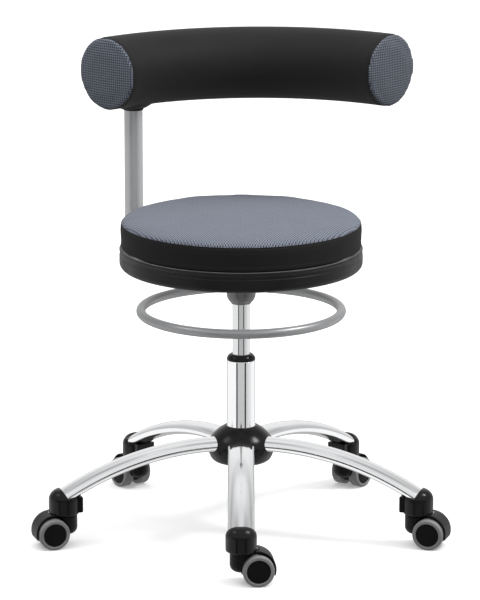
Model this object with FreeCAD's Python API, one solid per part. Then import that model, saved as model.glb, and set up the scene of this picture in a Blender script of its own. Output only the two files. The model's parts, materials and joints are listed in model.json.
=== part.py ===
import FreeCAD, Part
import math
import os

# Dental stool with a round seat on a gas lift, a release ring under the seat, a curved bolster
# backrest on a swinging tube, and a five-arm base on twin-wheel casters.
# Millimetres, +Z up, origin on the floor on the axis of the column. The user sits facing -Y.

V = FreeCAD.Vector
UP = V(0, 0, 1)

# ---------------------------------------------------------------- driving dimensions
# Base: five arms on a hub, each ending in a caster socket
ARM_ANGLES = [-90, -18, 54, 126, 198]
ARM_WIDTH = 42.0
ARM_HEIGHT = 22.5
ARM_WALL = 2.0
ARM_START = 29.5
ARM_BEND_START = 57.0
ARM_BEND_RADIUS = 480.0
ARM_Z = 146.8
ARM_END = 304.0
HUB_RADIUS = 37.0
HUB_BOTTOM = 121.0
HUB_TOP = 166.0
NECK_RADIUS = 25.2
COVER_BOTTOM = 116.5
COVER_TOP = 175.5
COVER_WALL = 2.5
COVER_BORE_GAP = 0.3
ARCH_GAP = 1.0
SOCKET_PLACE = 298.0
SOCKET_RADIUS = 24.5
SOCKET_BOTTOM = 53.5
SOCKET_TOP = 94.5
SOCKET_SHOULDER = 18.0
SOCKET_FOOT = 3.0
SOCKET_LEDGE = 82.5
TONGUE_REACH = 27.5
TONGUE_HALF_WIDTH = 17.0
TONGUE_BOTTOM = 57.0
PRESS_GAP = 0.1

# Casters: twin wheels under a hood, trailing behind a vertical stem
SWIVEL_RADIUS = 295.0
CASTER_ANGLES = [6, -18, 54, 126, 198]
WHEEL_RADIUS = 25.0
TRAIL = 25.0
TYRE_SEAT_RADIUS = 18.8
WHEEL_INNER_FACE = 8.0
WHEEL_OUTER_FACE = 26.0
AXLE_RADIUS = 3.0
HOOD_RADIUS = 30.5
HOOD_WALL = 2.3
HOOD_X = TRAIL - 2.0
HOOD_Z = WHEEL_RADIUS + 1.0
HOOD_HALF_WIDTH = 18.0
HOOD_TIP = 16.5
WEB_HALF_WIDTH = 6.5
WELL_RADIUS = 26.6
BOSS_RADIUS = 18.0
BOSS_BOTTOM = 20.0
CASTER_TOP = 52.0
STEM_RADIUS = 5.5
STEM_BOTTOM = 37.0
STEM_TOP = 78.0

# Gas lift
STAND_RADIUS = 23.0
STAND_WALL = 2.0
STAND_BOTTOM = 94.5
STAND_TOP = 284.5
TAPER_START = 175.0
TAPER_SLOPE = 2.0 / 82.0
BUSH_TOP = 294.5
BUSH_BOTTOM = 228.5
CYLINDER_RADIUS = 14.0
CYLINDER_BOTTOM = 184.5
CYLINDER_BORE = 12.4
BORE_TOP = 368.5
ROD_RADIUS = 5.0
ROD_BOTTOM = 88.5
PISTON_BOTTOM = 258.5
PISTON_TOP = 271.5
RUNNING_GAP = 0.05
PIN_RADIUS = 3.0
PIN_BOTTOM = 396.5
PIN_HOLE_BOTTOM = 389.5

# Seat carrier
SOCKET_BASE = 377.5
CONE_TOP = 414.5
CONE_TOP_RADIUS = 12.9
CARRIER_RADIUS = 23.3
CARRIER_BORE = 16.0
COLLAR_RADIUS = 29.0
PLATE_BOTTOM = 461.5
BOARD_BOTTOM = 466.5
BOARD_THICKNESS = 12.0
BOARD_RADIUS = 178.0
PAN_RADIUS = 195.0
PAN_BOTTOM = 437.5
PAN_TOP = 470.5
PAN_WALL = 3.0
PAN_RIM = 10.0
PAN_OPENING = 125.0
SEAT_RADIUS = 193.0
SEAT_SEAM = 510.5
SEAT_CROWN = 522.5
SOFT_GAP = 0.3

# Release ring and its rocking lever
RING_RADIUS = 161.0
RING_TUBE_RADIUS = 7.5
RING_Z = 365.5
PIVOT_Y = -34.0
PIVOT_Z = 420.5
PIVOT_RADIUS = 2.5
LEVER_HALF_WIDTH = 6.0
LEVER_THICKNESS = 5.0
STRUT_RADIUS = 4.0
STRUT_SPREAD = 14.0

# Backrest: hub on the carrier, bent tube, bolster
BACK_ANGLE = 140.2
POST_OFFSET = 228.0
BACK_TUBE_RADIUS = 15.0
BACK_TUBE_WALL = 2.0
BACK_TUBE_START = 31.0
BACK_ARM_Z = 442.5
BACK_LOW_Z = 417.5
SWIVEL_HALF = 12.0
SWIVEL_RADIUS_OUT = 33.0
WASHER_THICKNESS = 2.0
WASHER_GAP = 0.3
ELBOW_RADIUS = 40.0
POST_TOP = 736.5
BOLSTER_RADIUS = 59.0
BOLSTER_ARC = 330.0
BOLSTER_X = 30.8
BOLSTER_Z = 731.5
BOLSTER_LEFT = 49.1
BOLSTER_RIGHT = 40.5
CORE_HEIGHT = 60.0
CORE_THICKNESS = 40.0
CORE_INSET = 5.0


# ---------------------------------------------------------------- helpers
def save(name, shape):
    """Write one node."""
    shape.exportStep("parts/" + name + ".step")


def cylinder(radius, low, high, x=0.0, y=0.0):
    """Upright cylinder from low to high."""
    return Part.makeCylinder(radius, high - low, V(x, y, low))


def cross_cylinder(radius, half, x, z, low=None):
    """Cylinder along Y, centred or from low to half."""
    start = -half if low is None else low
    return Part.makeCylinder(radius, half - start, V(x, start, z), V(0, 1, 0))


def box(x0, x1, y0, y1, z0, z1):
    """Box between two corners."""
    return Part.makeBox(x1 - x0, y1 - y0, z1 - z0, V(x0, y0, z0))


def outline(points, place):
    """Closed wire through points; a pair of points is an arc: its middle and its end."""
    edges = []
    start = place(points[0])
    for item in points[1:] + [points[0]]:
        if isinstance(item[0], tuple):
            middle, end = (place(p) for p in item)
            edges.append(Part.Arc(start, middle, end).toShape())
        else:
            end = place(item)
            edges.append(Part.LineSegment(start, end).toShape())
        start = end
    return Part.Wire(edges)


def turned(points):
    """Solid of revolution about Z from (radius, z) points."""
    face = Part.Face(outline(points, lambda p: V(p[0], 0, p[1])))
    return face.revolve(V(0, 0, 0), UP, 360)


def dome_middle(radius, base, top):
    """Halfway point of a shallow dome from its rim (radius, base) to its centre (0, top)."""
    rise = top - base
    sphere = (radius ** 2 + rise ** 2) / (2 * rise)
    return radius / 2, top - sphere + math.sqrt(sphere ** 2 - (radius / 2) ** 2)


def turned_on_axle(points, side):
    """Solid of revolution about the wheel's axle from (radius, distance from mid-plane) points."""
    face = Part.Face(outline(points, lambda p: V(TRAIL, side * p[1], WHEEL_RADIUS + p[0])))
    return face.revolve(V(TRAIL, 0, WHEEL_RADIUS), V(0, 1, 0), 360)


def prism(points, half_width):
    """Solid from an outline in the XZ plane, spread to both sides along Y."""
    face = Part.Face(outline(points, lambda p: V(p[0], -half_width, p[1])))
    return face.extrude(V(0, 2 * half_width, 0))


def turn(shape, degrees):
    """Copy of a shape turned about the column axis."""
    copy = shape.copy()
    copy.rotate(V(0, 0, 0), UP, degrees)
    return copy


def on_point(angle, radius):
    """Point on the floor plane at an angle and radius."""
    a = math.radians(angle)
    return V(radius * math.cos(a), radius * math.sin(a), 0)


# ---------------------------------------------------------------- base
def arm_bar(width, height, end=ARM_END):
    """Oval bar along +X: straight out of the hub, then an arc that falls to the socket."""
    centre = V(ARM_START, 0, ARM_Z)
    oval = Part.Ellipse(centre + V(0, width / 2, 0), centre + V(0, 0, height / 2), centre)
    face = Part.Face(Part.Wire([oval.toShape()]))
    straight = face.extrude(V(ARM_BEND_START - ARM_START, 0, 0))
    face.translate(V(ARM_BEND_START - ARM_START, 0, 0))
    fall = math.degrees(math.asin((end - ARM_BEND_START) / ARM_BEND_RADIUS))
    bend = face.revolve(V(ARM_BEND_START, 0, ARM_Z - ARM_BEND_RADIUS), V(0, 1, 0), fall)
    return straight.fuse(bend).removeSplitter()


def arm():
    """Hollow oval arm with a hole under its end for the caster stem."""
    tube = arm_bar(ARM_WIDTH, ARM_HEIGHT).cut(
        arm_bar(ARM_WIDTH - 2 * ARM_WALL, ARM_HEIGHT - 2 * ARM_WALL)
    )
    return tube.cut(cylinder(STEM_RADIUS + 1, SOCKET_BOTTOM, STEM_TOP + 3, SWIVEL_RADIUS))


def arm_socket():
    """Domed end socket: a round body with a tongue under the arm, which holds the caster stem."""
    shoulder = SOCKET_RADIUS - SOCKET_SHOULDER
    side = SOCKET_TOP - SOCKET_SHOULDER
    slant = SOCKET_SHOULDER * math.sqrt(0.5)
    foot = SOCKET_RADIUS - SOCKET_FOOT
    foot_slant = SOCKET_FOOT * (1 - math.sqrt(0.5))
    foot_middle = (SOCKET_RADIUS - foot_slant, SOCKET_BOTTOM + foot_slant)
    body = turned([
        (0, SOCKET_BOTTOM),
        (foot, SOCKET_BOTTOM),
        (foot_middle, (SOCKET_RADIUS, SOCKET_BOTTOM + SOCKET_FOOT)),
        (SOCKET_RADIUS, side),
        ((shoulder + slant, side + slant), (shoulder, SOCKET_TOP)),
        (0, SOCKET_TOP),
    ])
    tongue = box(-TONGUE_REACH, 0, -TONGUE_HALF_WIDTH, TONGUE_HALF_WIDTH, TONGUE_BOTTOM, SOCKET_LEDGE)
    ends = [edge for edge in tongue.Edges if edge.CenterOfMass.x < 1 - TONGUE_REACH]
    body = body.fuse(tongue.makeFillet(2.5, ends))
    lip = 6.5
    high = SOCKET_TOP + 1
    outside = 2 * SOCKET_RADIUS
    ledge = [(-1, SOCKET_LEDGE), (-outside, SOCKET_LEDGE)]
    opening = [(lip, high + 10), (lip, high)] + ledge + [(-outside, high + 10)]
    body = body.cut(prism(opening, outside))
    body.translate(V(SOCKET_PLACE, 0, 0))
    pocket = arm_bar(ARM_WIDTH + 2 * PRESS_GAP, ARM_HEIGHT + 2 * PRESS_GAP, ARM_END + PRESS_GAP)
    body = body.cut(pocket)
    return body.cut(cylinder(STEM_RADIUS, SOCKET_BOTTOM - 1, STEM_TOP + 1, SWIVEL_RADIUS))


def caster_stem():
    """Steel stem with a small shoulder between the socket and the caster."""
    stem = cylinder(STEM_RADIUS, STEM_BOTTOM, STEM_TOP)
    shoulder = cylinder(STEM_RADIUS + 3.5, CASTER_TOP + 0.1, SOCKET_BOTTOM)
    stem = stem.fuse(shoulder).removeSplitter()
    stem.translate(V(SWIVEL_RADIUS, 0, 0))
    return stem


def hub_core():
    """Turned steel hub: a tapered bore for the stand tube, a neck that carries the cover, and
    five oval pockets for the arms."""
    neck_top = COVER_TOP - COVER_WALL
    edge = 3.0
    core = turned([
        (stand_radius(HUB_BOTTOM), HUB_BOTTOM),
        (HUB_RADIUS - edge, HUB_BOTTOM),
        (HUB_RADIUS, HUB_BOTTOM + edge),
        (HUB_RADIUS, HUB_TOP - edge),
        (HUB_RADIUS - edge, HUB_TOP),
        (NECK_RADIUS, HUB_TOP),
        (NECK_RADIUS, neck_top),
        (stand_radius(neck_top), neck_top),
    ])
    for angle in ARM_ANGLES:
        core = core.cut(turn(arm_bar(ARM_WIDTH, ARM_HEIGHT), angle))
    return core


def cover_outline(inset):
    """Half-section of the hub cover's outside from the neck to the lower rim, moved in by inset."""
    return [
        (STAND_RADIUS + COVER_BORE_GAP, COVER_TOP - inset),
        (25.2, COVER_TOP - inset),
        ((39.8 - inset, 165.4 - inset), (47.5 - inset, 157.0 - inset)),
        ((53.5 - inset, 141.0), (50.5 - inset, 126.0)),
        ((46.5 - inset, 119.5), (41.0 - inset, COVER_BOTTOM)),
    ]


def hub_cover():
    """Moulded bowl round the hub with an oval hole for each arm and an open bottom."""
    bore = STAND_RADIUS + COVER_BORE_GAP
    outside = turned(cover_outline(0) + [(bore, COVER_BOTTOM)])
    inside = turned(cover_outline(COVER_WALL) + [(bore, COVER_BOTTOM)])
    core_space = cylinder(HUB_RADIUS + COVER_BORE_GAP, COVER_BOTTOM - 1, HUB_TOP + COVER_BORE_GAP)
    shell = outside.cut(inside).cut(core_space)
    hole = arm_bar(ARM_WIDTH + 2 * ARCH_GAP, ARM_HEIGHT + 2 * ARCH_GAP, 2 * HUB_RADIUS)
    for angle in ARM_ANGLES:
        shell = shell.cut(turn(hole, angle))
    return shell.removeSplitter()


# ---------------------------------------------------------------- casters
def caster_body():
    """Boss, centre web and curved hood, moulded in one; trails along +X from the swivel axis."""
    boss = turned([
        (0, BOSS_BOTTOM),
        (7, BOSS_BOTTOM),
        ((BOSS_RADIUS - 3.5, BOSS_BOTTOM + 3.5), (BOSS_RADIUS, BOSS_BOTTOM + 11)),
        (BOSS_RADIUS, CASTER_TOP - 1),
        (BOSS_RADIUS - 1, CASTER_TOP),
        (0, CASTER_TOP),
    ])
    hood = cross_cylinder(HOOD_RADIUS, HOOD_HALF_WIDTH, HOOD_X, HOOD_Z)
    rims = [edge for edge in hood.Edges if edge.Length > 6 * HOOD_RADIUS]
    hood = hood.makeFillet(1.5, rims)
    hood = hood.cut(cross_cylinder(HOOD_RADIUS - HOOD_WALL, HOOD_HALF_WIDTH + 1, HOOD_X, HOOD_Z))
    web = cross_cylinder(HOOD_RADIUS - 1, WEB_HALF_WIDTH, HOOD_X, HOOD_Z)
    reach = 2 * HOOD_RADIUS
    low_rear = box(HOOD_X - reach, HOOD_X + reach, -reach, reach, -reach, HOOD_TIP)
    low_front = box(HOOD_X - reach, TRAIL, -reach, reach, -reach, WHEEL_RADIUS)
    front_cut = box(HOOD_X - reach, 0, -reach, reach, -reach, CASTER_TOP + reach)
    body = hood.cut(low_front).fuse(web).cut(low_rear).cut(front_cut).fuse(boss)
    for side in (-1, 1):
        inner = side * (WHEEL_INNER_FACE - 1)
        outer = side * reach
        well = cross_cylinder(WELL_RADIUS, max(inner, outer), TRAIL, WHEEL_RADIUS, min(inner, outer))
        body = body.cut(well)
    body = body.cut(cylinder(SOCKET_RADIUS + 4, CASTER_TOP, CASTER_TOP + reach))
    body = body.cut(cylinder(STEM_RADIUS + RUNNING_GAP, STEM_BOTTOM - 0.5, CASTER_TOP + 1))
    return body.cut(cross_cylinder(AXLE_RADIUS, reach, TRAIL, WHEEL_RADIUS)).removeSplitter()


def caster_axle():
    """Steel axle, pressed into the web."""
    return cross_cylinder(AXLE_RADIUS, WHEEL_OUTER_FACE - 3, TRAIL, WHEEL_RADIUS)


def wheel(side):
    """Wheel centre with a blind bore and a slightly domed outer face."""
    bore = AXLE_RADIUS + 0.04
    bore_end = WHEEL_OUTER_FACE - 2.8
    rim = TYRE_SEAT_RADIUS - 1.2
    face = WHEEL_OUTER_FACE - 1.0
    return turned_on_axle([
        (bore, WHEEL_INNER_FACE),
        (TYRE_SEAT_RADIUS, WHEEL_INNER_FACE),
        (TYRE_SEAT_RADIUS, face),
        (rim, face),
        (dome_middle(rim, face, WHEEL_OUTER_FACE), (0, WHEEL_OUTER_FACE)),
        (0, bore_end),
        (bore, bore_end),
    ], side)


def tyre(side):
    """Soft tread moulded round the wheel, with rounded edges."""
    edge = 3.0
    slant = edge * (1 - math.sqrt(0.5))
    inner, outer = WHEEL_INNER_FACE, WHEEL_OUTER_FACE
    return turned_on_axle([
        (TYRE_SEAT_RADIUS, inner),
        (WHEEL_RADIUS - edge, inner),
        ((WHEEL_RADIUS - slant, inner + slant), (WHEEL_RADIUS, inner + edge)),
        (WHEEL_RADIUS, outer - edge),
        ((WHEEL_RADIUS - slant, outer - slant), (WHEEL_RADIUS - edge, outer)),
        (TYRE_SEAT_RADIUS + 0.6, outer),
        (TYRE_SEAT_RADIUS, outer - 0.6),
    ], side)


def save_caster(number, arm_angle, trail_angle):
    """Place one caster's nodes under its socket."""
    nodes = {
        "caster_body": caster_body(),
        "caster_axle": caster_axle(),
        "wheel_left": wheel(1),
        "wheel_right": wheel(-1),
        "tyre_left": tyre(1),
        "tyre_right": tyre(-1),
    }
    for name, shape in nodes.items():
        placed = turn(shape, trail_angle)
        placed.translate(on_point(arm_angle, SWIVEL_RADIUS))
        save(name + "_" + str(number), placed)


# ---------------------------------------------------------------- gas lift
def stand_radius(z):
    """Outer radius of the stand tube, which tapers where it sits in the hub."""
    if z >= TAPER_START:
        return STAND_RADIUS
    return STAND_RADIUS - TAPER_SLOPE * (TAPER_START - z)


def stand_tube():
    """Outer tube with a tapered foot and a floor that carries the rod."""
    floor_top = STAND_BOTTOM + 6
    return turned([
        (ROD_RADIUS + RUNNING_GAP, STAND_BOTTOM),
        (stand_radius(STAND_BOTTOM), STAND_BOTTOM),
        (STAND_RADIUS, TAPER_START),
        (STAND_RADIUS, STAND_TOP - 0.8),
        (STAND_RADIUS - 0.8, STAND_TOP),
        (STAND_RADIUS - STAND_WALL, STAND_TOP),
        (STAND_RADIUS - STAND_WALL, TAPER_START),
        (stand_radius(STAND_BOTTOM) - STAND_WALL, floor_top),
        (ROD_RADIUS + RUNNING_GAP, floor_top),
    ])


def guide_bush():
    """Plastic bush in the mouth of the stand tube, with a domed top flange."""
    bore = CYLINDER_RADIUS + RUNNING_GAP
    fit = STAND_RADIUS - STAND_WALL
    return turned([
        (bore, BUSH_BOTTOM),
        (fit, BUSH_BOTTOM),
        (fit, STAND_TOP),
        (STAND_RADIUS + 0.2, STAND_TOP),
        (STAND_RADIUS + 0.2, STAND_TOP + 1.5),
        ((STAND_RADIUS - 2.4, STAND_TOP + 7), (STAND_RADIUS - 7.5, BUSH_TOP)),
        (bore, BUSH_TOP),
    ])


def thrust_bearing():
    """Two washers with a ring of balls between them."""
    low = STAND_BOTTOM + 6
    pieces = []
    for z in (low, low + 4.5):
        washer = cylinder(14, z, z + 1.5)
        pieces.append(washer.cut(cylinder(ROD_RADIUS + 1, z - 1, z + 3)))
    for k in range(12):
        centre = on_point(30 * k, 10) + V(0, 0, low + 3)
        pieces.append(Part.makeSphere(1.5, centre))
    return Part.makeCompound(pieces)


def piston_rod():
    """Rod with a bearing collar, a clip groove and the piston at its top."""
    groove = ROD_BOTTOM + 2
    collar = STAND_BOTTOM + 12 + RUNNING_GAP
    return turned([
        (0, ROD_BOTTOM),
        (ROD_RADIUS, ROD_BOTTOM),
        (ROD_RADIUS, groove),
        (ROD_RADIUS - 0.8, groove),
        (ROD_RADIUS - 0.8, groove + 1.2),
        (ROD_RADIUS, groove + 1.2),
        (ROD_RADIUS, collar),
        (9, collar),
        (9, collar + 3),
        (ROD_RADIUS, collar + 3),
        (ROD_RADIUS, PISTON_BOTTOM),
        (CYLINDER_BORE - RUNNING_GAP, PISTON_BOTTOM),
        (CYLINDER_BORE - RUNNING_GAP, PISTON_TOP),
        (0, PISTON_TOP),
    ])


def rod_clip():
    """Spring clip that keeps the rod in the stand tube."""
    low = ROD_BOTTOM + 2
    ring = cylinder(8.5, low, low + 1.2).cut(cylinder(ROD_RADIUS - 0.8, low - 1, low + 3))
    return ring.cut(box(-1.5, 1.5, 0, 12, low - 1, low + 3))


def gas_cylinder():
    """Pressure tube: gland round the rod, long bore, locking cone and a hole for the pin."""
    pin_hole = PIN_RADIUS + RUNNING_GAP
    gland_top = CYLINDER_BOTTOM + 8
    body = turned([
        (ROD_RADIUS + RUNNING_GAP, CYLINDER_BOTTOM),
        (CYLINDER_RADIUS - 1, CYLINDER_BOTTOM),
        (CYLINDER_RADIUS, CYLINDER_BOTTOM + 1),
        (CYLINDER_RADIUS, SOCKET_BASE),
        (CONE_TOP_RADIUS, CONE_TOP),
        (0, CONE_TOP),
        (0, BORE_TOP),
        (CYLINDER_BORE, BORE_TOP),
        (CYLINDER_BORE, gland_top),
        (ROD_RADIUS + RUNNING_GAP, gland_top),
    ])
    return body.cut(cylinder(pin_hole, PIN_HOLE_BOTTOM, CONE_TOP + 1))


def release_pin():
    """Valve pin with a rounded head."""
    head = PIVOT_Z - 0.1
    neck = head - PIN_RADIUS
    slant = PIN_RADIUS * math.sqrt(0.5)
    return turned([
        (0, PIN_BOTTOM),
        (PIN_RADIUS, PIN_BOTTOM),
        (PIN_RADIUS, neck),
        ((slant, neck + slant), (0, head)),
    ])


# ---------------------------------------------------------------- seat
def taper_socket():
    """Carrier stem: tapered bore below, lever chamber above, slots and ears for the lever, and a
    collar that carries the swivel hub."""
    body = turned([
        (CYLINDER_RADIUS, SOCKET_BASE),
        (16.0, SOCKET_BASE),
        (17.0, SOCKET_BASE + 2),
        ((21.2, SOCKET_BASE + 7.2), (CARRIER_RADIUS, SOCKET_BASE + 14)),
        (CARRIER_RADIUS, PLATE_BOTTOM),
        (CARRIER_BORE, PLATE_BOTTOM),
        (CARRIER_BORE, CONE_TOP + 1),
        (CONE_TOP_RADIUS, CONE_TOP),
    ])
    slot = LEVER_HALF_WIDTH + 1
    ear_wall = 4.0
    ear_top = PIVOT_Z + LEVER_THICKNESS
    core = cylinder(CARRIER_RADIUS - 1, SOCKET_BASE, PLATE_BOTTOM)
    for side in (-1, 1):
        inner, outer = sorted((side * slot, side * (slot + ear_wall)))
        ear = box(inner, outer, PIVOT_Y - 7, 2 - CARRIER_RADIUS, PIVOT_Z - 7, ear_top)
        body = body.fuse(ear.cut(core))
    body = body.cut(box(-slot, slot, -40, 40, PIVOT_Z - 8, ear_top + 2))
    collar_top = BACK_ARM_Z - SWIVEL_HALF - WASHER_THICKNESS - WASHER_GAP
    collar = cylinder(COLLAR_RADIUS, collar_top - 2, collar_top).cut(core)
    return body.cut(pivot_bar(PIVOT_RADIUS, 30)).fuse(collar).removeSplitter()


def pivot_bar(radius, half):
    """Bar along X on the lever's pivot."""
    return Part.makeCylinder(radius, 2 * half, V(-half, PIVOT_Y, PIVOT_Z), V(1, 0, 0))


def seat_plate():
    """Steel plate under the seat board, with countersunk holes for its screws."""
    plate = box(-80, 80, -80, 80, PLATE_BOTTOM, BOARD_BOTTOM)
    corners = [edge for edge in plate.Edges if abs(edge.tangentAt(edge.FirstParameter).z) > 0.9]
    plate = plate.makeFillet(15, corners)
    for x, y in screw_places():
        plate = plate.cut(screw(x, y))
    return plate


def screw_places():
    """Where the seat screws go."""
    return [(x, y) for x in (-65, 65) for y in (-65, 65)]


def screw(x, y):
    """Countersunk wood screw, head flush with the plate."""
    head = Part.makeCone(6, 3, 3, V(x, y, PLATE_BOTTOM))
    return head.fuse(cylinder(3, PLATE_BOTTOM + 3, BOARD_BOTTOM + BOARD_THICKNESS - 2, x, y))


def seat_board():
    """Plywood disc that carries the foam."""
    board = cylinder(BOARD_RADIUS, BOARD_BOTTOM, BOARD_BOTTOM + BOARD_THICKNESS)
    for x, y in screw_places():
        board = board.cut(screw(x, y))
    return board


def seat_pan():
    """Moulded ring under the seat: flat flange, sloping floor, rounded rim, and a wall with a step
    and a beaded top edge."""
    slant = PAN_RIM * math.sqrt(0.5)
    rim_x = PAN_RADIUS - PAN_RIM
    inner = PAN_RIM - PAN_WALL
    inner_slant = inner * math.sqrt(0.5)
    rim_top = PAN_BOTTOM + PAN_RIM
    step = 0.8
    groove = 1.8
    ledge = PAN_RADIUS - 5.0
    return turned([
        (PAN_OPENING, BOARD_BOTTOM - PAN_WALL),
        (150, BOARD_BOTTOM - PAN_WALL),
        (170, PAN_BOTTOM),
        (rim_x, PAN_BOTTOM),
        ((rim_x + slant, rim_top - slant), (PAN_RADIUS, rim_top)),
        (PAN_RADIUS, PAN_TOP - 11.8),
        (PAN_RADIUS - step, PAN_TOP - 11.0),
        (PAN_RADIUS - step, PAN_TOP - 5.6),
        ((PAN_RADIUS - groove, PAN_TOP - 4.8), (PAN_RADIUS - step, PAN_TOP - 4.0)),
        ((PAN_RADIUS, PAN_TOP - 2.2), (PAN_RADIUS - step, PAN_TOP - 0.4)),
        (PAN_RADIUS - 2 * step, PAN_TOP),
        (ledge, PAN_TOP),
        (ledge, PAN_TOP - 4),
        (PAN_RADIUS - PAN_WALL - step, PAN_TOP - 6),
        (PAN_RADIUS - PAN_WALL, PAN_TOP - 12),
        (PAN_RADIUS - PAN_WALL, rim_top),
        ((rim_x + inner_slant, rim_top - inner_slant), (rim_x, PAN_BOTTOM + PAN_WALL)),
        (172, PAN_BOTTOM + PAN_WALL),
        (152.5, BOARD_BOTTOM),
        (PAN_OPENING, BOARD_BOTTOM),
    ])


def seat_cushion():
    """Padded drum over the board, with a rounded shoulder and a low crown."""
    lift = BOARD_BOTTOM + BOARD_THICKNESS + SOFT_GAP
    shoulder = SEAT_RADIUS - 8
    shoulder_z = SEAT_SEAM + 6.6
    return turned([
        (0, lift),
        (BOARD_RADIUS + SOFT_GAP, lift),
        (BOARD_RADIUS + SOFT_GAP, PAN_TOP + SOFT_GAP),
        (SEAT_RADIUS, PAN_TOP + SOFT_GAP),
        (SEAT_RADIUS, SEAT_SEAM - 1),
        ((SEAT_RADIUS - 2.2, SEAT_SEAM + 4.3), (shoulder, shoulder_z)),
        (dome_middle(shoulder, shoulder_z, SEAT_CROWN), (0, SEAT_CROWN)),
    ])


# ---------------------------------------------------------------- release ring
def release_ring():
    """Round steel ring that the user lifts from any side."""
    return Part.makeTorus(RING_RADIUS, RING_TUBE_RADIUS, V(0, 0, RING_Z))


def strut(side):
    """Rod from the lever's tail down to the back of the ring."""
    low = on_point(90 - side * STRUT_SPREAD, RING_RADIUS) + V(0, 0, RING_Z)
    high = V(side * 2.5, 38, PIVOT_Z + 1)
    run = low - high
    return Part.makeCylinder(STRUT_RADIUS, run.Length, high, run)


def ring_lever():
    """Rocking lever: lug on the pivot, bar across the pin, and two struts to the ring."""
    top = PIVOT_Z + LEVER_THICKNESS
    bar = box(-LEVER_HALF_WIDTH, LEVER_HALF_WIDTH, PIVOT_Y - 5, 42, PIVOT_Z, top)
    lug = box(-LEVER_HALF_WIDTH, LEVER_HALF_WIDTH, PIVOT_Y - 5, PIVOT_Y + 7, PIVOT_Z - 5, top)
    lever = bar.fuse(lug).fuse(strut(-1)).fuse(strut(1))
    lever = lever.cut(release_ring()).cut(pivot_bar(PIVOT_RADIUS + RUNNING_GAP, 30))
    lever = lever.cut(box(-20, 20, 20, 60, top, top + 10))
    return lever.removeSplitter()


# ---------------------------------------------------------------- backrest
def back_point(offset, z):
    """Point above the line at BACK_ANGLE."""
    return on_point(BACK_ANGLE, offset) + V(0, 0, z)


def back_path():
    """Centre line of the bent tube: out from the hub, down an S-bend, out, and up the post."""
    bend_start, bend_end = 90.0, 150.0
    run = bend_end - bend_start
    fall = BACK_ARM_Z - BACK_LOW_Z
    radius = (run ** 2 + fall ** 2) / (4 * fall)
    half = math.asin(run / 2 / radius) / 2
    step = radius * math.sin(half)
    drop = radius * (1 - math.cos(half))
    middle_z = BACK_ARM_Z - fall / 2
    elbow = POST_OFFSET - ELBOW_RADIUS
    slant = ELBOW_RADIUS * math.sqrt(0.5)
    points = [
        back_point(bend_start + step, BACK_ARM_Z - drop),
        back_point((bend_start + bend_end) / 2, middle_z),
        back_point(bend_end - step, BACK_LOW_Z + drop),
        back_point(bend_end, BACK_LOW_Z),
    ]
    post_foot = back_point(POST_OFFSET, BACK_LOW_Z + ELBOW_RADIUS)
    elbow_middle = back_point(elbow + slant, BACK_LOW_Z + ELBOW_RADIUS - slant)
    root = back_point(BACK_TUBE_START, BACK_ARM_Z)
    first = back_point(bend_start, BACK_ARM_Z)
    return Part.Wire([
        Part.LineSegment(root, first).toShape(),
        Part.Arc(first, points[0], points[1]).toShape(),
        Part.Arc(points[1], points[2], points[3]).toShape(),
        Part.LineSegment(points[3], back_point(elbow, BACK_LOW_Z)).toShape(),
        Part.Arc(back_point(elbow, BACK_LOW_Z), elbow_middle, post_foot).toShape(),
        Part.LineSegment(post_foot, back_point(POST_OFFSET, POST_TOP)).toShape(),
    ])


def swept_disc(radius):
    """Round bar along the backrest's path."""
    start = back_point(BACK_TUBE_START, BACK_ARM_Z)
    circle = Part.Circle(start, on_point(BACK_ANGLE, 1.0), radius)
    return back_path().makePipeShell([Part.Wire([circle.toShape()])], True, True)


def back_tube():
    """Bent tube, coped to the swivel hub."""
    tube = swept_disc(BACK_TUBE_RADIUS).cut(swept_disc(BACK_TUBE_RADIUS - BACK_TUBE_WALL))
    return tube.cut(cylinder(SWIVEL_RADIUS_OUT, BACK_ARM_Z - 30, BACK_ARM_Z + 30))


def swivel_hub():
    """Ring that turns on the carrier stem."""
    low, high = BACK_ARM_Z - SWIVEL_HALF, BACK_ARM_Z + SWIVEL_HALF
    hub = cylinder(SWIVEL_RADIUS_OUT, low, high)
    return hub.cut(cylinder(CARRIER_RADIUS + RUNNING_GAP, low - 1, high + 1))


def swivel_washers():
    """Plastic washers above and below the swivel hub."""
    rings = []
    below = BACK_ARM_Z - SWIVEL_HALF - WASHER_GAP - WASHER_THICKNESS
    above = BACK_ARM_Z + SWIVEL_HALF + WASHER_GAP
    for z in (below, above):
        ring = cylinder(SWIVEL_RADIUS_OUT - 2, z, z + WASHER_THICKNESS)
        rings.append(ring.cut(cylinder(CARRIER_RADIUS, z - 1, z + WASHER_THICKNESS + 1)))
    return Part.makeCompound(rings)


def bolster_centre():
    """Centre of the bolster's arc, set so that the arc passes over the post."""
    post = back_point(POST_OFFSET, 0)
    reach = math.sqrt(BOLSTER_ARC ** 2 - (post.x - BOLSTER_X) ** 2)
    return V(BOLSTER_X, post.y - reach, BOLSTER_Z)


def bolster_bar(face_wire, left, right):
    """Sweep an outline, drawn on the +Y side of the arc, from the left end to the right end."""
    face = Part.Face(face_wire)
    face.rotate(bolster_centre(), UP, left)
    return face.revolve(bolster_centre(), UP, -(left + right))


def core_bar(gap):
    """Curved bar of the core's section, grown by gap, which stops short of the bolster's ends."""
    centre = bolster_centre() + V(0, BOLSTER_ARC, 0)
    half_t = CORE_THICKNESS / 2 + gap
    half_h = CORE_HEIGHT / 2 + gap
    corners = [(-half_t, -half_h), (half_t, -half_h), (half_t, half_h), (-half_t, half_h)]
    wire = outline(corners, lambda p: centre + V(0, p[0], p[1]))
    inset = CORE_INSET - math.degrees(gap / BOLSTER_ARC)
    return bolster_bar(wire, BOLSTER_LEFT - inset, BOLSTER_RIGHT - inset)


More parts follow.
